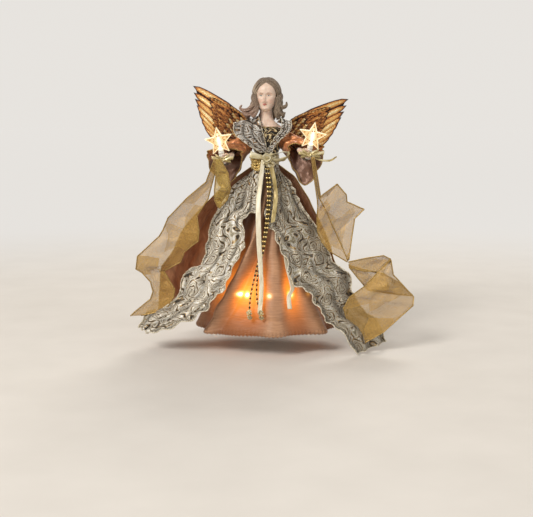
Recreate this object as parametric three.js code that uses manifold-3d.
// A lit angel for the top of a tree: a dressed figure on a hollow cone that drops over the tree's leader.
// Millimetres, +Z up. The origin is the centre of the cone's mouth, and the figure faces -Y.
// Left and right are those of someone who looks at the figure's face.
import * as THREE from 'three';
import { mergeVertices } from 'three/addons/utils/BufferGeometryUtils.js';
import Module from 'manifold-3d';

const wasm = await Module();
wasm.setup();

// Clearances and stock
const seatGap = 0.3;
const cutOverrun = 2;
const weldTolerance = 1e-4;
const clothThickness = 1.2;
const sheerThickness = 1;
const ribbonThickness = 0.8;

// Body cone
const coneRimRadius = 54;
const coneHeight = 215;
const coneWall = 1.6;
const neckRadius = 14;
const neckHeight = 20;
const flangeWidth = 5;
const flangeThickness = 2;
const cordNotchRadius = 3;

// Torso and bust
const torsoHeight = 65;
const shoulderHalfWidth = 26;
const chestHalfDepth = 15;
const plugLength = 12;
const headHeight = 49;
const faceWidth = 31;
const headDepth = 40;
const hairWidth = 46;
const neckLength = 22;
const lockRadius = 6.5;

// Arms and wires
const armWireRadius = 1.5;
const leadRadius = 1.2;
const leadDrop = 4;

// Lampholders, lamps and star covers
const holderRadius = 4.2;
const holderWall = 1.1;
const holderCollarRadius = 6;
const holderCollarThickness = 1.5;
const skirtHolderLength = 17;
const skirtHolderProud = 3.5;
const skirtLampHeight = 52;
const skirtBulbLength = 9;
const handHolderLength = 21;
const handHolderDrop = 12;
const handBulbLength = 18;
const handBulbRadius = 3.2;
const lampBaseLength = 10;
const starRadius = 21;
const starNotchRadius = 9.5;
const starDepth = 9;
const starBevel = 1;
const starRise = 13;

// Hands, held out in front of the figure
const leftReach = 64.5;
const rightReach = 62;
const handForward = 46;
const leftHandFall = 43;
const rightHandFall = 36;
const palmRadius = 5;
const fingerRadius = 1.4;

// Wings
const wingLength = 133;
const wingThickness = 3.2;
const wingRootOffset = 9;
const wingSweep = 28;
const screwRadius = 1.4;
const screwHeadRadius = 3.2;
const screwHeadHeight = 1.8;
const screwLength = 11;

// Skirt, robe and sleeves
const skirtSideRoom = 46;
const skirtFrontRoom = 25;
const skirtHalfWidth = coneRimRadius + skirtSideRoom;
const skirtHalfDepth = coneRimRadius + skirtFrontRoom;
const skirtHemDrop = 5;
const skirtFoldDepth = 5;
const robeSpread = 195;
const robeDepth = 75;
const robeFoldDepth = 4;
const robeStandoff = 5;
const backLeftReach = 172;
const backRightReach = 138;
const backHalfDepth = 96;
const backHemHeight = 8;
const backFoldDepth = 4;
const sleeveRadius = 14;
const sleeveFall = 40;
const cuffSplay = 10;
const sashWidth = 14;
const sashRise = 12;

// Ribbons, beads and trimming
const tailWidth = 8;
const tailStandoff = 12;
const beadRadius = 1.2;
const beadStandoff = 8.5;
const knotRadius = 6;
const berryRadius = 3;
const wristRibbonWidth = 7;
const curlRibbonWidth = 3;
const sheerReach = 150;
const sheerDrop = 239;

// Places worked out from the sizes above
const waistHeight = coneHeight + neckHeight;
const figureTop = waistHeight + torsoHeight;
const skirtTop = waistHeight - seatGap * 15;
const skirtTopRadius = neckRadius + seatGap + clothThickness / 2;
const underRobeRadius = skirtTopRadius + clothThickness / 2 + ribbonThickness + 2 * seatGap;
const robeTopRadius = underRobeRadius + clothThickness / 2;
const sashRadius = robeTopRadius + clothThickness / 2 + seatGap + ribbonThickness / 2;
const skirtDrop = skirtTop + skirtHemDrop;

const finishes = {
  cone: { color: 0xe8e2d6, roughness: 0.4, metalness: 0 },
  block: { color: 0xcfc7b8, roughness: 0.5, metalness: 0 },
  skin: { color: 0xe9c3a2, roughness: 0.45, metalness: 0 },
  wing: { color: 0xb4834a, roughness: 0.4, metalness: 0.6 },
  steel: { color: 0x9a9a98, roughness: 0.35, metalness: 1 },
  holder: { color: 0xf4f1e8, roughness: 0.35, metalness: 0 },
  lamp: { color: 0xfff2cf, roughness: 0.1, metalness: 0 },
  star: { color: 0xffe9b0, roughness: 0.2, metalness: 0 },
  wire: { color: 0x3f5136, roughness: 0.5, metalness: 0 },
  taffeta: { color: 0xb98455, roughness: 0.5, metalness: 0 },
  brocade: { color: 0x9c9484, roughness: 0.6, metalness: 0.1 },
  satin: { color: 0x7d4526, roughness: 0.35, metalness: 0 },
  bodice: { color: 0x6d5429, roughness: 0.55, metalness: 0.1 },
  cream: { color: 0xe6dbb4, roughness: 0.4, metalness: 0 },
  olive: { color: 0x9a8446, roughness: 0.4, metalness: 0.1 },
  gold: { color: 0xc79a3e, roughness: 0.3, metalness: 0.9 },
  sheer: { color: 0xc7a15a, roughness: 0.5, metalness: 0.2 },
};

const angel = new THREE.Group();

function add(name, geometry, finish, parent = angel) {
  const mesh = new THREE.Mesh(geometry, new THREE.MeshStandardMaterial(finishes[finish]));
  mesh.name = name;
  parent.add(mesh);
  return mesh;
}

// Shape helpers

const turn = (share) => share * 2 * Math.PI;
const ease = (value) => value * value * (3 - 2 * value);
const limit = (value) => Math.min(1, Math.max(0, value));

// Closes a list of triangles into a geometry whose faces point outwards.
function closedGeometry(points, triangles) {
  let volume = 0;
  for (const [a, b, c] of triangles) {
    volume += points[a].dot(points[b].clone().cross(points[c]));
  }
  const geometry = new THREE.BufferGeometry().setFromPoints(points);
  geometry.setIndex(triangles.flatMap(([a, b, c]) => (volume > 0 ? [a, b, c] : [a, c, b])));
  geometry.computeVertexNormals();
  return geometry;
}

// A shell of cloth about the surface place(u, v), with u and v from 0 to 1. A closed one meets itself in u.
function sheet(place, uSteps, vSteps, thickness, closed = false) {
  const columns = closed ? uSteps : uSteps + 1;
  const step = 1e-3;
  const inReach = closed ? (value) => value : limit;
  const points = [];
  for (const face of [1 / 2, -1 / 2]) {
    for (let row = 0; row <= vSteps; row += 1) {
      for (let column = 0; column < columns; column += 1) {
        const u = column / uSteps;
        const v = row / vSteps;
        const alongU = place(inReach(u + step), v).sub(place(inReach(u - step), v));
        const alongV = place(u, limit(v + step)).sub(place(u, limit(v - step)));
        const normal = alongU.cross(alongV).normalize();
        const wall = typeof thickness === 'function' ? thickness(u, v) : thickness;
        points.push(place(u, v).addScaledVector(normal, face * wall));
      }
    }
  }
  const back = columns * (vSteps + 1);
  const at = (row, column) => row * columns + (column % columns);
  const triangles = [];
  const quad = (a, b, c, d) => triangles.push([a, b, c], [a, c, d]);
  for (let row = 0; row < vSteps; row += 1) {
    for (let column = 0; column < uSteps; column += 1) {
      const corners = [at(row, column), at(row, column + 1), at(row + 1, column + 1), at(row + 1, column)];
      quad(...corners);
      quad(...corners.map((corner) => corner + back).reverse());
    }
  }
  for (let column = 0; column < uSteps; column += 1) {
    quad(at(0, column + 1), at(0, column), at(0, column) + back, at(0, column + 1) + back);
    quad(at(vSteps, column), at(vSteps, column + 1), at(vSteps, column + 1) + back, at(vSteps, column) + back);
  }
  if (!closed) {
    for (let row = 0; row < vSteps; row += 1) {
      quad(at(row, 0), at(row + 1, 0), at(row + 1, 0) + back, at(row, 0) + back);
      quad(at(row + 1, uSteps), at(row, uSteps), at(row, uSteps) + back, at(row + 1, uSteps) + back);
    }
  }
  return closedGeometry(points, triangles);
}

// A solid through rings of equally many points, with a fan over each end.
function loft(rings) {
  const count = rings[0].length;
  const points = rings.flat();
  const triangles = [];
  for (let ring = 0; ring < rings.length - 1; ring += 1) {
    for (let corner = 0; corner < count; corner += 1) {
      const next = (corner + 1) % count;
      const [a, b] = [ring * count + corner, ring * count + next];
      triangles.push([a, b, b + count], [a, b + count, a + count]);
    }
  }
  for (const [ring, reversed] of [[0, true], [rings.length - 1, false]]) {
    const centre = points.length;
    const sum = rings[ring].reduce((total, point) => total.add(point), new THREE.Vector3());
    points.push(sum.divideScalar(count));
    for (let corner = 0; corner < count; corner += 1) {
      const [a, b] = [ring * count + corner, ring * count + ((corner + 1) % count)];
      triangles.push(reversed ? [centre, b, a] : [centre, a, b]);
    }
  }
  return closedGeometry(points, triangles);
}

// A round limb whose radius follows a table of radii along a curve through some points.
function limb(points, radii, steps, sides) {
  const curve = new THREE.CatmullRomCurve3(points);
  const frames = curve.computeFrenetFrames(steps);
  const rings = [];
  for (let step = 0; step <= steps; step += 1) {
    const place = (step / steps) * (radii.length - 1);
    const low = Math.min(Math.floor(place), radii.length - 2);
    const radius = THREE.MathUtils.lerp(radii[low], radii[low + 1], place - low);
    const centre = curve.getPoint(step / steps);
    rings.push(Array.from({ length: sides }, (_, side) => centre.clone()
      .addScaledVector(frames.normals[step], radius * Math.cos(turn(side / sides)))
      .addScaledVector(frames.binormals[step], radius * Math.sin(turn(side / sides)))));
  }
  return loft(rings);
}

// A wire: a round section drawn along a curve.
function wireAlong(points, radius, steps, sides = 6) {
  const section = new THREE.Shape(Array.from({ length: sides }, (_, side) => new THREE.Vector2(
    radius * Math.cos(turn(side / sides)),
    radius * Math.sin(turn(side / sides)),
  )));
  const extrudePath = new THREE.CatmullRomCurve3(points);
  return new THREE.ExtrudeGeometry(section, { steps, extrudePath, bevelEnabled: false });
}

// A turned shape about +Z from a closed profile of [radius, height] pairs.
function turned(profile, segments) {
  const points = profile.map(([radius, height]) => new THREE.Vector2(radius, height));
  return new THREE.LatheGeometry(points, segments).rotateX(Math.PI / 2);
}

// A cylinder along +Z from one height to another.
function rod(radius, bottom, top, sides = 20) {
  const length = top - bottom;
  return new THREE.CylinderGeometry(radius, radius, length, sides).rotateX(Math.PI / 2)
    .translate(0, 0, bottom + length / 2);
}

function ball(radiusX, radiusY, radiusZ, centre, across = 16, down = 10) {
  return new THREE.SphereGeometry(1, across, down).rotateX(Math.PI / 2)
    .scale(radiusX, radiusY, radiusZ).translate(centre.x, centre.y, centre.z);
}

function solid(geometry) {
  const bare = geometry.clone();
  bare.deleteAttribute('normal');
  bare.deleteAttribute('uv');
  const merged = mergeVertices(bare, weldTolerance);
  return new wasm.Manifold(new wasm.Mesh({
    numProp: 3,
    vertProperties: new Float32Array(merged.attributes.position.array),
    triVerts: new Uint32Array(merged.index.array),
  }));
}

function geometryOf(made) {
  const mesh = made.getMesh();
  const geometry = new THREE.BufferGeometry();
  geometry.setAttribute('position', new THREE.BufferAttribute(new Float32Array(mesh.vertProperties), 3));
  geometry.setIndex(Array.from(mesh.triVerts));
  geometry.computeVertexNormals();
  return geometry;
}

const joined = (geometries) => geometries.map(solid).reduce((total, next) => total.add(next));
const cut = (made, cutters) => cutters.map(solid).reduce((total, next) => total.subtract(next), made);

// The largest body left after a cut.
function largest(made) {
  const bodies = made.decompose();
  return bodies.reduce((best, body) => (body.volume() > best.volume() ? body : best));
}

// Reads a row of shares out of a table, evenly spaced by its first column.
function sampleShares(table, share) {
  const next = Math.max(1, table.findIndex((row) => row[0] >= share));
  const [low, high] = share > table[table.length - 1][0] ? table.slice(-2) : [table[next - 1], table[next]];
  const part = (share - low[0]) / (high[0] - low[0]);
  return low.map((value, column) => THREE.MathUtils.lerp(value, high[column], part));
}

// A smooth curve through a table of [x, y, z] shares of three sizes, from a starting point.
function route(shares, sizes, start = new THREE.Vector3()) {
  return new THREE.CatmullRomCurve3(shares.map(([x, y, z]) => new THREE.Vector3(
    start.x + x * sizes.x,
    start.y + y * sizes.y,
    start.z + z * sizes.z,
  )));
}

const sides = {
  left: { sign: -1, reach: leftReach, height: figureTop - leftHandFall },
  right: { sign: 1, reach: rightReach, height: figureTop - rightHandFall },
};

// The body's outline: half width and half depth of the torso by its height, each as a share.
const torsoShares = [
  [0, 0.54, 0.8],
  [0.36, 0.58, 0.86],
  [0.5, 0.74, 0.97],
  [0.65, 0.88, 1],
  [0.8, 1, 0.95],
  [0.92, 0.94, 0.82],
  [1, 0.6, 0.66],
];

function torsoRing(share, growth, count = 16) {
  const [, width, depth] = sampleShares(torsoShares, share);
  return Array.from({ length: count }, (_, corner) => new THREE.Vector3(
    (width * shoulderHalfWidth + growth) * Math.sin(turn(corner / count)),
    -(depth * chestHalfDepth + growth) * Math.cos(turn(corner / count)),
    waistHeight + share * torsoHeight,
  ));
}

// The underskirt's half width and half depth at a height, with its folds laid over them.
const skirtFoldCount = 8;
const skirtFoldTurnShare = 9 / 360;

function skirtAxes(height) {
  const share = limit((skirtTop - height) / skirtDrop);
  return {
    share,
    x: THREE.MathUtils.lerp(skirtTopRadius, skirtHalfWidth, share),
    y: THREE.MathUtils.lerp(skirtTopRadius, skirtHalfDepth, share),
  };
}

// How far forward the front of the underskirt can reach at a place, or 0 beside it.
function skirtFront(x, height, margin) {
  const axes = skirtAxes(height);
  const growth = margin + axes.share * skirtFoldDepth;
  const across = x / (axes.x + growth);
  return Math.abs(across) < 1 ? (axes.y + growth) * Math.sqrt(1 - across * across) : 0;
}

// Body cone
function coneRadiusAt(height) {
  return THREE.MathUtils.lerp(coneRimRadius, neckRadius, height / coneHeight);
}

const skirtLampTurnShares = [-0.42, -0.27, -0.129, -0.079, 0.011, 0.1, 0.175, 0.36];
const coneSlope = Math.atan((coneRimRadius - neckRadius) / coneHeight);

// The frame of a skirt lampholder: its +Z points out of the cone, square to the wall.
function skirtLampFrame(turnShare) {
  const radius = coneRadiusAt(skirtLampHeight);
  const frame = new THREE.Group();
  const angle = turn(turnShare);
  frame.position.set(radius * Math.sin(angle), -radius * Math.cos(angle), skirtLampHeight);
  frame.rotation.order = 'ZYX';
  frame.rotation.set(Math.PI / 2 - coneSlope, 0, angle);
  frame.updateMatrixWorld(true);
  return frame;
}

function bodyCone() {
  const shell = turned([
    [coneRimRadius - coneWall, 0],
    [coneRimRadius + flangeWidth, 0],
    [coneRimRadius + flangeWidth, flangeThickness],
    [coneRadiusAt(flangeThickness), flangeThickness],
    [neckRadius, coneHeight],
    [neckRadius, waistHeight],
    [neckRadius - coneWall, waistHeight],
    [neckRadius - coneWall, coneHeight],
    [coneRimRadius - coneWall, 0],
  ], 32);
  const holes = skirtLampTurnShares.map((share) => rod(
    holderRadius + seatGap,
    -coneWall - cutOverrun,
    cutOverrun,
    8,
  ).applyMatrix4(skirtLampFrame(share).matrixWorld));
  const rimLength = coneWall + flangeWidth + 2 * cutOverrun;
  const notch = rod(cordNotchRadius, -rimLength, rimLength, 12).rotateX(Math.PI / 2)
    .translate(0, coneRimRadius, 0);
  add('body_cone', geometryOf(cut(solid(shell), [...holes, notch])), 'cone');
}

// Lampholders and lamps
function holderGeometry(length, proud, collar) {
  const mouth = holderRadius - holderWall;
  const profile = [[0, proud - length], [holderRadius, proud - length]];
  if (collar) {
    profile.push(
      [holderRadius, seatGap],
      [holderCollarRadius, seatGap],
      [holderCollarRadius, seatGap + holderCollarThickness],
      [holderRadius, seatGap + holderCollarThickness],
    );
  }
  profile.push([holderRadius, proud], [mouth, proud], [mouth, proud - lampBaseLength - seatGap]);
  profile.push([0, proud - lampBaseLength - seatGap]);
  return turned(profile, collar ? 8 : 12);
}

// A push-in mini lamp: its plug fills the holder, and its bulb stands on the holder's mouth.
function lampGeometry(mouthHeight, bulbRadius, bulbLength) {
  const plugRadius = holderRadius - holderWall - seatGap;
  const shoulder = mouthHeight + seatGap;
  const profile = [[0, mouthHeight - lampBaseLength], [plugRadius, mouthHeight - lampBaseLength]];
  profile.push([plugRadius, shoulder]);
  if (bulbRadius > plugRadius) profile.push([bulbRadius, shoulder]);
  for (const part of [0.7, 0.9]) {
    const narrowing = Math.sqrt(1 - ((part - 0.7) / 0.3) ** 2);
    profile.push([bulbRadius * narrowing, shoulder + part * (bulbLength - seatGap)]);
  }
  profile.push([0, mouthHeight + bulbLength]);
  return turned(profile, 8);
}

function skirtLights() {
  const bulbRadius = holderRadius - holderWall - seatGap;
  skirtLampTurnShares.forEach((share, index) => {
    const frame = skirtLampFrame(share);
    angel.add(frame);
    const holder = holderGeometry(skirtHolderLength, skirtHolderProud, true);
    add(`skirt_lampholder_${index + 1}`, holder, 'holder', frame);
    const lamp = lampGeometry(skirtHolderProud, bulbRadius, skirtBulbLength);
    add(`skirt_lamp_${index + 1}`, lamp, 'lamp', frame);
  });
}

// Hand lamps: a tilted frame at each hand carries the holder, the lamp and the star.
const lampTiltShare = 11 / 360;
const lampLeanShare = 7 / 360;
const starTop = handHolderLength - handHolderDrop;

function handFrame(side) {
  const frame = new THREE.Group();
  frame.position.set(side.sign * side.reach, -handForward, side.height);
  frame.rotation.set(turn(lampLeanShare), side.sign * turn(lampTiltShare), 0);
  frame.updateMatrixWorld(true);
  return frame;
}

function starGeometry() {
  const centre = starTop + starRise;
  const corners = Array.from({ length: 10 }, (_, corner) => {
    const radius = corner % 2 ? starNotchRadius : starRadius;
    const angle = turn(corner / 10);
    return new THREE.Vector2(radius * Math.sin(angle), radius * Math.cos(angle));
  });
  const body = new THREE.ExtrudeGeometry(new THREE.Shape(corners), {
    depth: starDepth - 2 * starBevel,
    bevelThickness: starBevel,
    bevelSize: starBevel,
    bevelOffset: -starBevel,
    bevelSegments: 1,
  });
  body.translate(0, 0, starBevel - starDepth / 2).rotateX(Math.PI / 2).translate(0, 0, centre);
  const socket = rod(
    handBulbRadius + seatGap,
    centre - starRadius,
    starTop + handBulbLength + seatGap,
    14,
  );
  return geometryOf(cut(solid(body), [socket]));
}

// A hand that closes round its lampholder, with the wire of the arm in its wrist.
const palmDropShare = -0.3;
const palmDistance = holderRadius + seatGap + palmRadius * 0.7;
const gripRadius = holderRadius + seatGap + fingerRadius * 0.8;
const handTurnShares = { left: -0.12, right: 0.12 };

function palmCentre(name) {
  const angle = turn(handTurnShares[name]);
  return new THREE.Vector3(
    -palmDistance * Math.sin(angle),
    palmDistance * Math.cos(angle),
    palmDropShare * handHolderDrop,
  );
}

function handGeometry(name) {
  const sign = sides[name].sign;
  const centre = palmCentre(name);
  const start = Math.atan2(centre.y, centre.x);
  const parts = [ball(palmRadius, palmRadius, palmRadius * 1.2, centre, 10, 6)];
  const fingerShares = [-1, -0.35, 0.3, 0.95];
  const curlShares = [0, 0.16, 0.32, 0.46];
  for (const [index, heightShare] of fingerShares.entries()) {
    const height = centre.z + heightShare * palmRadius;
    const points = curlShares.map((share) => {
      const angle = start + sign * turn(share * (index === 3 ? 0.8 : 1));
      return new THREE.Vector3(gripRadius * Math.cos(angle), gripRadius * Math.sin(angle), height);
    });
    parts.push(limb(points, [1.2, 1.1, 1, 0.7].map((share) => share * fingerRadius), 4, 5));
  }
  const thumb = [0, 0.14, 0.26].map((share) => {
    const angle = start - sign * turn(share);
    const height = centre.z + share * palmRadius * 3;
    return new THREE.Vector3(gripRadius * Math.cos(angle), gripRadius * Math.sin(angle), height);
  });
  parts.push(limb(thumb, [1.4, 1.2, 0.8].map((share) => share * fingerRadius), 3, 5));
  const wrist = rod(armWireRadius + 2 * seatGap, 0, palmRadius + cutOverrun, 10).rotateX(-Math.PI / 2)
    .rotateZ(start - Math.PI / 2).translate(centre.x, centre.y, centre.z);
  const bore = rod(holderRadius + seatGap, centre.z - headHeight, centre.z + headHeight, 14);
  return geometryOf(largest(cut(joined(parts), [bore, wrist])));
}

function handParts() {
  for (const [name, side] of Object.entries(sides)) {
    const frame = handFrame(side);
    angel.add(frame);
    add(`hand_${name}`, handGeometry(name), 'skin', frame);
    add(`lampholder_${name}`, holderGeometry(handHolderLength, starTop, false), 'holder', frame);
    add(`lamp_${name}`, lampGeometry(starTop, handBulbRadius, handBulbLength), 'lamp', frame);
    add(`star_${name}`, starGeometry(), 'star', frame);
  }
}

// Arm wire and wire harness
const shoulderShare = 0.68;
const elbowReachShare = 0.68;
const elbowForwardShare = 0.36;
const elbowHeightShare = 0.42;

function armPoints(name) {
  const side = sides[name];
  const frame = handFrame(side);
  const centre = palmCentre(name);
  const outward = centre.clone().setZ(0).normalize();
  const wrist = centre.clone().addScaledVector(outward, seatGap).applyMatrix4(frame.matrixWorld);
  const cuff = centre.clone().addScaledVector(outward, 2 * palmRadius).applyMatrix4(frame.matrixWorld);
  const shoulderHeight = waistHeight + shoulderShare * torsoHeight;
  const shoulder = new THREE.Vector3(side.sign * shoulderHalfWidth, 0, shoulderHeight);
  const elbow = new THREE.Vector3(
    side.sign * side.reach * elbowReachShare,
    -handForward * elbowForwardShare,
    THREE.MathUtils.lerp(side.height, shoulderHeight, elbowHeightShare),
  );
  return [wrist, cuff, elbow, shoulder];
}

function armRoute() {
  const middle = new THREE.Vector3(0, 0, waistHeight + shoulderShare * torsoHeight);
  return [...armPoints('left'), middle, ...armPoints('right').reverse()];
}

const leadTurnStep = 1 / 20;
const ringSteps = 9;

function harnessRoute() {
  const lead = (name) => {
    const side = sides[name];
    const frame = handFrame(side);
    const [, cuff, elbow, shoulder] = armPoints(name);
    const exit = handHolderDrop + seatGap + leadRadius;
    const outward = palmCentre(name).setZ(0).normalize();
    const socket = new THREE.Vector3(0, 0, -exit).applyMatrix4(frame.matrixWorld);
    const bend = outward.multiplyScalar(palmRadius).setZ(-exit - leadDrop / 2).applyMatrix4(frame.matrixWorld);
    const drop = new THREE.Vector3(0, 0, -leadDrop);
    const inside = new THREE.Vector3(side.sign * neckRadius / 2, neckRadius / 4, waistHeight + torsoHeight / 2);
    const neck = new THREE.Vector3(side.sign * neckRadius / 3, neckRadius / 2, waistHeight);
    const coneTop = neck.clone().setZ(coneHeight);
    return [socket, bend, cuff.add(drop), elbow.add(drop), shoulder.add(drop), inside, neck, coneTop];
  };
  const backDepth = skirtHolderLength - skirtHolderProud + seatGap + leadRadius;
  const ringRadius = coneRadiusAt(skirtLampHeight) - backDepth * Math.cos(coneSlope);
  const ringHeight = skirtLampHeight - backDepth * Math.sin(coneSlope);
  const ring = [];
  for (let step = -ringSteps; step <= ringSteps; step += 1) {
    const angle = turn(step * leadTurnStep);
    ring.push(new THREE.Vector3(ringRadius * Math.sin(angle), -ringRadius * Math.cos(angle), ringHeight));
  }
  const descent = (sign) => [0.7, 0.35].map((share) => {
    const height = THREE.MathUtils.lerp(ringHeight, coneHeight, share);
    const radius = Math.min(coneRadiusAt(height) - coneWall - 3 * leadRadius, ringRadius);
    return new THREE.Vector3(sign * neckRadius / 3, radius, height);
  });
  return [
    ...lead('left'),
    ...descent(-1),
    ...ring,
    ...descent(1).reverse(),
    ...lead('right').reverse(),
  ];
}

function wires() {
  add('arm_wire', wireAlong(armRoute(), armWireRadius, 30, 6), 'steel');
  add('wire_harness', wireAlong(harnessRoute(), leadRadius, 110, 5), 'wire');
}

// Torso block: plugs into the neck, and takes the arm wire and the wing screws
const blockTopShare = 0.78;
const wingHeightShare = 0.67;

function torsoBlock() {
  const shares = torsoShares.map(([share]) => share).filter((share) => share < blockTopShare);
  const rings = [...shares, blockTopShare].map((share) => torsoRing(share + seatGap / torsoHeight, 0));
  const plug = rod(neckRadius - coneWall - seatGap, waistHeight - plugLength, waistHeight + 2 * seatGap);
  const body = solid(loft(rings)).add(solid(plug));
  const channel = wireAlong(harnessRoute(), leadRadius + 2 * seatGap, 110, 5);
  const cross = wireAlong(armRoute(), armWireRadius + seatGap, 30, 6);
  add('torso_block', geometryOf(largest(cut(body, [channel, cross, ...screwHoles()]))), 'block');
}

// Bust: chest, neck, head and hair in one casting
const chinHeight = figureTop + neckLength;

function bust() {
  const chestShares = [blockTopShare + 2 * seatGap / torsoHeight, 0.8, 0.92, 1];
  const chest = chestShares.map((share) => torsoRing(share, 0));
  const neckRing = (radius, height, back) => Array.from({ length: 16 }, (_, corner) => new THREE.Vector3(
    radius * Math.sin(turn(corner / 16)),
    back - radius * Math.cos(turn(corner / 16)),
    height,
  ));
  const neckHalfWidth = faceWidth * 0.27;
  chest.push(neckRing(neckHalfWidth * 1.2, figureTop + neckLength * 0.15, 0));
  chest.push(neckRing(neckHalfWidth, figureTop + neckLength * 0.4, 0));
  chest.push(neckRing(neckHalfWidth, chinHeight + headHeight * 0.15, 0));
  const middle = chinHeight + headHeight / 2;
  const at = (x, y, z) => new THREE.Vector3(x * hairWidth, y * headDepth, middle + z * headHeight);
  const lock = (places, shares, steps = 5) => limb(
    places.map((place) => at(...place)),
    shares.map((share) => share * lockRadius),
    steps,
    7,
  );
  const parts = [
    loft(chest),
    ball(faceWidth / 2, headDepth * 0.44, headHeight * 0.45, at(0, -0.06, -0.05), 14, 10),
    ball(faceWidth * 0.33, headDepth * 0.34, headHeight * 0.2, at(0, -0.12, -0.3), 10, 8),
    ball(hairWidth * 0.45, headDepth * 0.48, headHeight * 0.44, at(0.02, 0.1, 0.06), 14, 10),
    lock([[-0.38, 0, 0.15], [-0.46, -0.05, -0.1], [-0.5, -0.15, -0.35], [-0.72, -0.2, -0.52]], [0.7, 1, 1, 0.6]),
    lock([[0.42, 0, 0.15], [0.48, -0.02, -0.12], [0.46, -0.08, -0.38], [0.6, -0.1, -0.52]], [0.7, 1, 1, 0.5]),
    lock([[-0.1, 0.45, 0.2], [-0.12, 0.5, -0.1], [-0.16, 0.42, -0.5]], [1.4, 1.8, 1.1]),
    lock([[0.15, 0.45, 0.2], [0.18, 0.48, -0.1], [0.2, 0.42, -0.48]], [1.4, 1.8, 1.1]),
  ];
  add('bust', geometryOf(joined(parts)), 'skin');
}

// Wings: root to tip, each row gives the leading and the trailing edge as shares of the length
const wingShares = [
  [-0.05, -0.05, 0.05],
  [0.05, -0.07, 0.075],
  [0.125, -0.09, 0.105],
  [0.22, -0.1, 0.13],
  [0.35, -0.14, 0.227],
  [0.477, -0.142, 0.255],
  [0.61, -0.117, 0.215],
  [0.727, -0.1, 0.156],
  [0.883, -0.1, 0.035],
  [1, -0.1, -0.062],
];
const wingLiftShares = { left: 34 / 360, right: 23.5 / 360 };
const wingBendShare = 0.12;
const wingHeight = waistHeight + wingHeightShare * torsoHeight;
const bodiceOuter = 2 * seatGap + clothThickness;
const wingSeat = chestHalfDepth + bodiceOuter + seatGap;

function wing(name) {
  const { sign } = sides[name];
  const edge = (column) => new THREE.CatmullRomCurve3(wingShares.map((row) => new THREE.Vector3(
    row[0] * wingLength,
    0,
    -row[column] * wingLength,
  )));
  const [leading, trailing] = [edge(1), edge(2)];
  const place = (u, v) => {
    const point = leading.getPoint(u).lerp(trailing.getPoint(u), v);
    const beyond = Math.max(0, point.x / wingLength - wingBendShare) / (1 - wingBendShare);
    point.y = wingSeat + wingThickness / 2 + wingSweep * beyond ** 1.2;
    point.x *= sign;
    return point;
  };
  const blade = sheet(place, 18, 4, (u) => wingThickness * (1 - 0.4 * u));
  const hole = rod(screwRadius + seatGap, 0, wingSeat * 2).rotateX(-Math.PI / 2);
  const frame = new THREE.Group();
  frame.position.set(sign * (wingRootOffset + screwRadius), 0, wingHeight);
  frame.rotation.y = -sign * turn(wingLiftShares[name]);
  angel.add(frame);
  add(`wing_${name}`, geometryOf(cut(solid(blade), [hole])), 'wing', frame);
  const headTop = wingSeat + wingThickness + seatGap;
  const screw = turned([
    [0, headTop - screwLength],
    [screwRadius, headTop - screwLength],
    [screwRadius, headTop],
    [screwHeadRadius, headTop],
    [screwHeadRadius, headTop + screwHeadHeight / 2],
    [screwHeadRadius * 0.7, headTop + screwHeadHeight],
    [0, headTop + screwHeadHeight],
  ], 10).rotateX(-Math.PI / 2);
  add(`wing_screw_${name}`, screw, 'steel', frame);
}

// The holes that both wing screws need in what they pass through.
function screwHoles() {
  return [-1, 1].map((sign) => {
    const bottom = wingSeat + wingThickness - screwLength - seatGap;
    return rod(screwRadius + seatGap, bottom, wingSeat * 2, 8).rotateX(-Math.PI / 2)
      .translate(sign * (wingRootOffset + screwRadius), 0, wingHeight);
  });
}

// Underskirt
function underskirt() {
  const place = (u, v) => {
    const height = skirtTop - v * skirtDrop;
    const axes = skirtAxes(height);
    const angle = turn(u);
    const fold = v * skirtFoldDepth * Math.cos(skirtFoldCount * turn(u - skirtFoldTurnShare));
    return new THREE.Vector3((axes.x + fold) * Math.sin(angle), -(axes.y + fold) * Math.cos(angle), height);
  };
  add('underskirt', sheet(place, 48, 6, clothThickness, true), 'taffeta');
}

// Robe: two front panels, given by their inner and outer edges from the waist to the hem
const robeEdgeShares = {
  left: {
    turnShares: [-0.09, -0.27],
    inner: [
      [-0.072, -0.35, 0.073],
      [-0.072, -0.41, 0.165],
      [-0.079, -0.46, 0.232],
      [-0.177, -0.56, 0.274],
      [-0.162, -0.69, 0.426],
      [-0.22, -0.8, 0.521],
      [-0.309, -0.96, 0.676],
      [-0.391, -0.99, 0.756],
      [-0.496, -0.99, 0.856],
      [-0.714, -0.8, 0.951],
      [-0.893, -0.53, 1.008],
    ],
    outer: [
      [-0.225, -0.12, 0.062],
      [-0.309, -0.2, 0.157],
      [-0.362, -0.24, 0.219],
      [-0.416, -0.28, 0.307],
      [-0.455, -0.32, 0.439],
      [-0.486, -0.35, 0.553],
      [-0.632, -0.37, 0.643],
      [-0.688, -0.37, 0.791],
      [-0.823, -0.32, 0.866],
      [-0.921, -0.21, 0.899],
      [-0.997, -0.13, 1.002],
    ],
  },
  right: {
    turnShares: [0.05, 0.27],
    inner: [
      [0.027, -0.35, 0.073],
      [0.011, -0.4, 0.165],
      [0.004, -0.5, 0.288],
      [0.064, -0.6, 0.385],
      [0.131, -0.75, 0.505],
      [0.19, -0.91, 0.667],
      [0.309, -0.96, 0.714],
      [0.392, -0.99, 0.819],
      [0.437, -0.99, 0.9],
      [0.558, -0.96, 0.966],
      [0.685, -0.83, 1.122],
    ],
    outer: [
      [0.187, -0.12, 0.062],
      [0.232, -0.2, 0.138],
      [0.278, -0.24, 0.219],
      [0.355, -0.28, 0.307],
      [0.455, -0.32, 0.452],
      [0.509, -0.35, 0.56],
      [0.64, -0.37, 0.643],
      [0.657, -0.37, 0.74],
      [0.737, -0.32, 0.859],
      [0.865, -0.27, 0.954],
      [0.932, -0.21, 1.083],
    ],
  },
};
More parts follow.
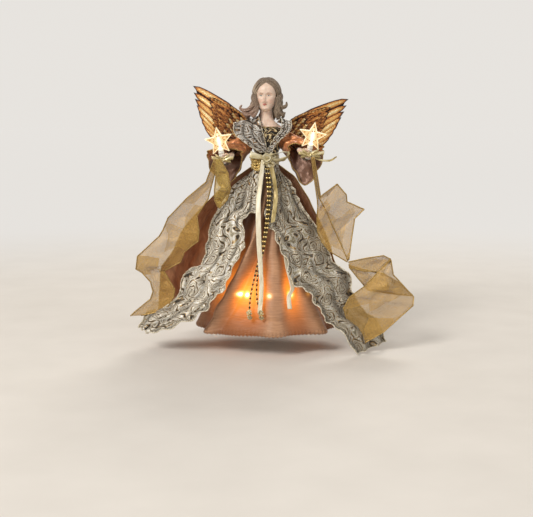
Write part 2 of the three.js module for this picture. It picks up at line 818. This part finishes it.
const robeTop = waistHeight + sashRise + seatGap;
const waistBand = sashWidth / 3;

function robePanel(name) {
  const { turnShares, inner, outer } = robeEdgeShares[name];
  const edge = (table, turnShare) => {
    const below = route(table, { x: robeSpread, y: robeDepth, z: -skirtDrop }, new THREE.Vector3(0, 0, skirtTop));
    const start = new THREE.Vector3(
      robeTopRadius * Math.sin(turn(turnShare)),
      -robeTopRadius * Math.cos(turn(turnShare)),
      robeTop,
    );
    const bottom = start.clone().setZ(robeTop - waistBand);
    return new THREE.CatmullRomCurve3([start, bottom, ...below.points]);
  };
  const rows = inner.length + 1;
  const [innerEdge, outerEdge] = [edge(inner, turnShares[0]), edge(outer, turnShares[1])];
  const place = (u, v) => {
    const point = innerEdge.getPoint(v).lerp(outerEdge.getPoint(v), u);
    const angle = turn(THREE.MathUtils.lerp(...turnShares, u));
    const low = ease(limit((rows * v - 1) / 3));
    const waist = new THREE.Vector3(robeTopRadius * Math.sin(angle), -robeTopRadius * Math.cos(angle), point.z);
    point.lerp(waist, 1 - ease(limit(rows * v - 1)));
    const margin = THREE.MathUtils.lerp(robeTopRadius - skirtTopRadius, robeStandoff, low);
    point.y += low * robeFoldDepth * Math.sin(turn(2.5 * u));
    point.y = Math.min(point.y, -skirtFront(point.x, point.z, margin));
    return point;
  };
  add(`robe_${name}`, sheet(place, 8, rows, clothThickness), 'brocade');
}

// How far the back panel reaches sideways, by how far down it is, each as a share.
const backReachShares = {
  left: [[0, 0], [0.15, 0.34], [0.34, 0.64], [0.45, 0.76], [0.56, 0.84], [0.67, 0.97], [0.76, 1], [1, 1]],
  right: [[0, 0], [0.08, 0.22], [0.23, 0.41], [0.4, 0.57], [0.53, 0.68], [0.68, 0.79], [0.88, 0.93], [1, 1]],
};

function robeBack() {
  const drop = robeTop - waistBand - backHemHeight;
  const rows = 8;
  const place = (u, v) => {
    const angle = turn(THREE.MathUtils.lerp(0.3, 0.7, u));
    const low = Math.max(0, (rows * v - 1) / (rows - 1));
    const fold = low * backFoldDepth * Math.cos(turn(5 * u));
    const [name, reach] = Math.sin(angle) < 0 ? ['left', backLeftReach] : ['right', backRightReach];
    const [, spread] = sampleShares(backReachShares[name], low);
    const halfWidth = THREE.MathUtils.lerp(robeTopRadius, reach, spread) + fold;
    const halfDepth = THREE.MathUtils.lerp(robeTopRadius, backHalfDepth, low ** 0.8) + fold;
    const height = robeTop - limit(rows * v) * waistBand - low * drop;
    return new THREE.Vector3(halfWidth * Math.sin(angle), -halfDepth * Math.cos(angle), height);
  };
  add('robe_back', sheet(place, 16, rows, clothThickness), 'satin');
}

// Bodice, with armholes and screw holes
const armholeRadius = leadDrop + 2 * leadRadius;
const bodiceRowShares = [[0, 0.02], [0.2, 0.36], [0.4, 0.5], [0.6, 0.65], [0.8, 0.8], [1, 0.92]];

function bodice() {
  const shareAt = (v) => sampleShares(bodiceRowShares, v)[1];
  const place = (u, v) => {
    const growth = bodiceOuter - clothThickness / 2;
    const [, width, depth] = sampleShares(torsoShares, shareAt(v));
    const angle = turn(u);
    return new THREE.Vector3(
      (width * shoulderHalfWidth + growth) * Math.sin(angle),
      -(depth * chestHalfDepth + growth) * Math.cos(angle),
      waistHeight + shareAt(v) * torsoHeight,
    );
  };
  const shell = solid(sheet(place, 16, bodiceRowShares.length - 1, clothThickness, true));
  const armholes = rod(armholeRadius, -2 * shoulderHalfWidth, 2 * shoulderHalfWidth, 8).rotateY(Math.PI / 2)
    .translate(0, 0, waistHeight + shoulderShare * torsoHeight - leadDrop / 2);
  add('bodice', geometryOf(largest(cut(shell, [armholes, ...screwHoles()]))), 'bodice');
}

// A solid of the dressed torso, grown by a clearance, that trims what is sewn to it.
function dressedTorso() {
  const rings = torsoShares.map(([share]) => torsoRing(share, bodiceOuter + seatGap));
  return loft(rings);
}

// Sleeves: a puff at the shoulder that widens to a bell cuff and falls to a point
const sleeveShares = [
  [0, 0.72, 0.72],
  [0.25, 0.88, 0.88],
  [0.55, 0.98, 0.86],
  [0.8, 1.3, 0.84],
  [1, 1.85, 0.8],
];

function sleeve(name) {
  const { sign } = sides[name];
  const [, cuff, elbow, shoulder] = armPoints(name);
  const inside = shoulder.clone().setX(sign * shoulderHalfWidth * 0.5);
  const mouth = cuff.lerp(elbow, 0.1);
  mouth.x += sign * cuffSplay;
  const centreline = new THREE.CatmullRomCurve3([inside, shoulder, elbow, mouth]);
  const place = (u, v) => {
    const centre = centreline.getPoint(v);
    const tangent = centreline.getTangent(v);
    const across = new THREE.Vector3(-tangent.y, tangent.x, 0).multiplyScalar(-sign).normalize();
    across.lerp(new THREE.Vector3(-sign, 0, 0), ease(v)).normalize();
    const up = new THREE.Vector3().crossVectors(tangent, across).normalize();
    if (up.z < 0) up.negate();
    const angle = turn(u);
    const [, width, height] = sampleShares(sleeveShares, v);
    const ruffle = 1 + 0.06 * v * Math.cos(6 * angle);
    const point = centre.addScaledVector(across, sleeveRadius * width * ruffle * Math.sin(angle));
    point.addScaledVector(up, sleeveRadius * height * ruffle * Math.cos(angle));
    const low = limit(-Math.cos(angle)) ** 2;
    point.z -= sleeveFall * low * ease(limit((v - 0.45) / 0.55));
    return point;
  };
  const shell = solid(sheet(place, 14, 7, clothThickness, true));
  add(`sleeve_${name}`, geometryOf(largest(cut(shell, [dressedTorso()]))), 'satin');
}

// Lapels, from behind the neck over the shoulder to the waist
const lapelShares = {
  left: {
    inner: [
      [-0.44, 0.55, 1.08],
      [-0.45, 0, 1.18],
      [-0.36, -0.9, 1.08],
      [-0.26, -1.16, 0.88],
      [-0.16, -1.18, 0.72],
      [-0.05, -1.18, 0.56],
      [0.06, -1.16, 0.42],
    ],
    outer: [
      [-1.4, 0.5, 1.02],
      [-1.75, -0.2, 1.05],
      [-1.85, -0.9, 0.94],
      [-1.75, -1.7, 0.78],
      [-1.25, -1.75, 0.62],
      [-0.75, -1.45, 0.5],
      [-0.35, -1.32, 0.4],
    ],
  },
  right: {
    inner: [
      [0.6, 0.55, 1.08],
      [0.75, 0, 1.14],
      [0.85, -0.9, 1.04],
      [0.84, -1.2, 0.9],
      [0.56, -1.26, 0.74],
      [0.26, -1.28, 0.58],
      [0.06, -1.26, 0.42],
    ],
    outer: [
      [1.05, 0.5, 1.04],
      [1.3, -0.15, 1.08],
      [1.4, -0.9, 0.98],
      [1.28, -1.45, 0.84],
      [0.92, -1.55, 0.7],
      [0.56, -1.5, 0.56],
      [0.32, -1.46, 0.4],
    ],
  },
};

function lapel(name) {
  const sizes = { x: shoulderHalfWidth, y: chestHalfDepth, z: torsoHeight };
  const start = new THREE.Vector3(0, 0, waistHeight);
  const inner = route(lapelShares[name].inner, sizes, start);
  const outer = route(lapelShares[name].outer, sizes, start);
  const place = (u, v) => inner.getPoint(v).lerp(outer.getPoint(v), u);
  add(`lapel_${name}`, sheet(place, 3, 10, clothThickness), 'brocade');
}

// Sash, bow and berries at the waist
const sashHeight = waistHeight + sashRise + sashWidth / 4;
const sashOuter = sashRadius + ribbonThickness / 2;
const knotDepth = knotRadius * 0.7;
const knotForward = sashOuter + seatGap + knotDepth;

function sash() {
  const place = (u, v) => new THREE.Vector3(
    sashRadius * Math.sin(turn(u)),
    -sashRadius * Math.cos(turn(u)),
    sashHeight + (v - 1 / 2) * sashWidth,
  );
  add('sash', sheet(place, 24, 1, ribbonThickness, true), 'gold');
}

const bowShares = {
  left: { reach: 3, forward: 1, rise: 2 },
  right: { reach: 5.4, forward: 3.4, rise: 1 },
};

function bow() {
  add('bow_knot', ball(knotRadius, knotDepth, knotRadius, new THREE.Vector3(0, -knotForward, sashHeight)), 'gold');
  for (const [name, { reach, forward, rise }] of Object.entries(bowShares)) {
    const { sign } = sides[name];
    const place = (u, v) => {
      const out = Math.sin(Math.PI * v) ** 0.8;
      return new THREE.Vector3(
        sign * (knotRadius * 0.85 + seatGap + ribbonThickness + out * knotRadius * reach),
        -knotForward - knotDepth * Math.cos(Math.PI * v) * (0.4 + 0.6 * out) - forward * out * knotRadius,
        sashHeight + knotRadius * (1 + rise * out) + (u - 1 / 2) * tailWidth,
      );
    };
    add(`bow_loop_${name}`, sheet(place, 1, 12, ribbonThickness), 'gold');
  }
}

function berries() {
  const ring = sashOuter + seatGap + berryRadius;
  const count = 5;
  const parts = [];
  for (const [row, offset] of [[-1.6, 0], [-0.5, 0.5]]) {
    for (let index = 0; index < count; index += 1) {
      const angle = turn(THREE.MathUtils.lerp(-0.2, -0.075, (index + offset) / count));
      const centre = new THREE.Vector3(ring * Math.sin(angle), -ring * Math.cos(angle), sashHeight + row * berryRadius);
      parts.push(ball(berryRadius, berryRadius, berryRadius, centre, 6, 4));
    }
  }
  add('berry_cluster', geometryOf(joined(parts)), 'gold');
}

// Ribbon tails and bead strands hang from the knot, just clear of the skirt behind them
const tailStart = new THREE.Vector3(0, -knotForward - knotDepth - seatGap - ribbonThickness / 2, sashHeight);

// The standoff from the skirt narrows from the waist to the hem.
function hangingPoint(xShare, dropShare, standoff) {
  const x = xShare * skirtHalfWidth;
  const height = skirtTop - dropShare * skirtDrop;
  const near = THREE.MathUtils.lerp(1, 0.4, ease(limit((dropShare - 0.4) / 0.35)));
  return new THREE.Vector3(x, -skirtFront(x, height, standoff * near), height);
}

function tail(name, shares, finish, width, begin) {
  const curve = new THREE.CatmullRomCurve3([
    ...begin,
    ...shares.map(([x, drop]) => hangingPoint(x, drop, tailStandoff)),
  ]);
  const place = (u, v) => curve.getPoint(v).add(new THREE.Vector3((u - 1 / 2) * width, 0, 0));
  add(name, sheet(place, 1, 14, ribbonThickness), finish);
}

const longTailShares = [
  [-0.09, 0.06],
  [-0.12, 0.16],
  [-0.12, 0.28],
  [-0.105, 0.46],
  [-0.08, 0.61],
  [-0.07, 0.76],
];
const oliveTailShares = [[0.12, 0.06], [0.135, 0.13], [0.12, 0.22], [0.09, 0.3]];
const underTailShares = [
  [0.08, 0],
  [0.16, 0.2],
  [0.26, 0.44],
  [0.31, 0.58],
  [0.365, 0.67],
  [0.38, 0.71],
  [0.33, 0.755],
  [0.34, 0.83],
];
const strandShares = {
  left: [
    [0.005, 0.03],
    [0.02, 0.1],
    [0.01, 0.22],
    [-0.02, 0.34],
    [-0.09, 0.49],
    [-0.16, 0.61],
    [-0.235, 0.755],
    [-0.25, 0.86],
  ],
  right: [
    [0.045, 0.03],
    [0.055, 0.1],
    [0.04, 0.22],
    [0.012, 0.34],
    [-0.055, 0.49],
    [-0.125, 0.61],
    [-0.14, 0.755],
    [-0.08, 0.86],
  ],
};

function tails() {
  const beside = (share) => tailStart.clone().add(new THREE.Vector3(share * tailWidth, 0, 0));
  tail('ribbon_tail_long', longTailShares, 'cream', tailWidth, [beside(-0.6)]);
  tail('ribbon_tail_olive', oliveTailShares, 'olive', tailWidth * 0.8, [beside(0.6)]);
  const hidden = new THREE.CatmullRomCurve3(underTailShares.map(([x, drop]) => hangingPoint(x, drop, 0)));
  const place = (u, v) => {
    const point = hidden.getPoint(v);
    point.x += (u - 1 / 2) * tailWidth * 0.8;
    point.y = -skirtFront(point.x, point.z, clothThickness / 2 + 2 * seatGap + ribbonThickness / 2);
    return point;
  };
  add('ribbon_tail_right', sheet(place, 2, 14, ribbonThickness), 'cream');
  for (const [name, shares] of Object.entries(strandShares)) {
    const { sign } = sides[name];
    const start = new THREE.Vector3(sign * beadRadius * 1.4, -knotForward, sashHeight - knotRadius - seatGap * 2);
    const points = [start, ...shares.map(([x, drop]) => hangingPoint(x, drop, beadStandoff))];
    add(`bead_strand_${name}`, wireAlong(points, beadRadius, 28, 8), 'gold');
  }
}

// Wrist bows, and the sheer ribbon that hangs from them
const wristKnotRadius = 4;
const wristLoopShares = { left: [[-1, 3.4], [1, 3.6]], right: [[-1, 3.4], [1, 5]] };

function wristKnot(name) {
  const side = sides[name];
  const forward = gripRadius + fingerRadius * 0.8 + wristKnotRadius;
  return new THREE.Vector3(0, -forward, palmDropShare * handHolderDrop).applyMatrix4(handFrame(side).matrixWorld);
}

const curlTailShares = [
  [0, 0, 0],
  [1.5, -0.2, -0.6],
  [3, 0.2, -1.6],
  [5.5, 0.4, -2.2],
  [7.8, 0.4, -2.1],
  [10, 0.5, -0.8],
];

function wristBow(name) {
  const knot = wristKnot(name);
  const parts = [ball(wristKnotRadius, wristKnotRadius, wristKnotRadius, knot, 8, 5)];
  for (const [sign, reach] of wristLoopShares[name]) {
    const place = (u, v) => {
      const out = Math.sin(Math.PI * v) ** 0.8;
      return new THREE.Vector3(
        knot.x + sign * (wristKnotRadius * 0.5 + out * wristKnotRadius * reach),
        knot.y + wristKnotRadius * 0.6 * -Math.cos(Math.PI * v) + out * wristKnotRadius,
        knot.z + wristKnotRadius * 0.5 * out + (u - 1 / 2) * wristRibbonWidth,
      );
    };
    parts.push(sheet(place, 1, 8, ribbonThickness));
  }
  if (name === 'right') {
    const size = wristKnotRadius;
    const curve = route(curlTailShares, { x: size, y: size, z: size }, knot);
    const place = (u, v) => curve.getPoint(v).add(new THREE.Vector3(0, 0, (u - 1 / 2) * curlRibbonWidth));
    parts.push(sheet(place, 1, 10, ribbonThickness));
  }
  add(`wrist_bow_${name}`, geometryOf(joined(parts)), 'gold');
}

const sheerShares = {
  organza_left: {
    hand: 'left',
    inner: [
      [0.02, 0, 0],
      [0, 0.17, -0.08],
      [-0.08, 0.42, -0.22],
      [-0.25, 0.53, -0.33],
      [-0.2, 0.57, -0.46],
      [-0.33, 0.62, -0.54],
      [-0.51, 0.68, -0.63],
      [-0.48, 0.72, -0.76],
      [-0.59, 0.68, -0.88],
      [-0.84, 0.68, -0.94],
    ],
    outer: [
      [-0.02, 0, 0],
      [-0.14, 0.12, -0.1],
      [-0.3, 0.28, -0.2],
      [-0.52, 0.38, -0.33],
      [-0.66, 0.47, -0.48],
      [-0.86, 0.57, -0.6],
      [-0.83, 0.57, -0.67],
      [-0.72, 0.68, -0.79],
      [-0.81, 0.68, -0.89],
      [-0.96, 0.72, -0.98],
    ],
  },
  organza_left_fall: {
    hand: 'left',
    inner: [[0.02, -0.06, 0], [0.04, 0, -0.1], [0.03, 0.07, -0.19], [-0.01, 0.17, -0.29]],
    outer: [[-0.02, -0.06, 0], [-0.05, -0.03, -0.1], [-0.06, 0.07, -0.19], [-0.08, 0.17, -0.27]],
  },
  organza_right: {
    hand: 'right',
    inner: [
      [-0.03, 0, 0],
      [0.03, 0.17, -0.14],
      [0.11, 0.28, -0.25],
      [0.09, 0.28, -0.39],
      [0.13, 0.28, -0.54],
      [0.24, 0.33, -0.63],
      [0.38, 0.28, -0.68],
    ],
    outer: [
      [0.03, 0, 0],
      [0.13, 0.23, -0.13],
      [0.32, 0.47, -0.16],
      [0.5, 0.57, -0.28],
      [0.51, 0.57, -0.42],
      [0.44, 0.47, -0.57],
      [0.41, 0.35, -0.67],
    ],
  },
  organza_right_loop: {
    hand: 'right',
    inner: [
      [0.38, 0.27, -0.683],
      [0.47, 0.17, -0.8],
      [0.38, -0.07, -0.88],
      [0.37, -0.33, -0.97],
      [0.49, -0.42, -1.1],
      [0.55, -0.38, -1.15],
    ],
    outer: [
      [0.41, 0.34, -0.674],
      [0.75, 0.57, -0.62],
      [0.92, 0.68, -0.7],
      [1.07, 0.68, -0.9],
      [0.98, 0.53, -1.03],
      [0.73, 0.07, -1.13],
    ],
  },
};

function sheerRibbons() {
  const sizes = { x: sheerReach, y: handForward, z: sheerDrop };
  for (const [name, { hand, inner, outer }] of Object.entries(sheerShares)) {
    const start = wristKnot(hand);
    start.z -= wristKnotRadius + seatGap;
    const [innerEdge, outerEdge] = [route(inner, sizes, start), route(outer, sizes, start)];
    const place = (u, v) => {
      const point = innerEdge.getPoint(v).lerp(outerEdge.getPoint(v), u);
      point.y += Math.sin(Math.PI * u) * Math.sin(turn(1.5 * v)) * clothThickness * 2 * v;
      return point;
    };
    add(name, sheet(place, 4, 16, sheerThickness), 'sheer');
  }
}

bodyCone();
skirtLights();
wires();
torsoBlock();
bust();
handParts();
for (const name of Object.keys(sides)) {
  wing(name);
  sleeve(name);
  lapel(name);
  robePanel(name);
  wristBow(name);
}
bodice();
underskirt();
robeBack();
sash();
bow();
berries();
tails();
sheerRibbons();

export default angel;
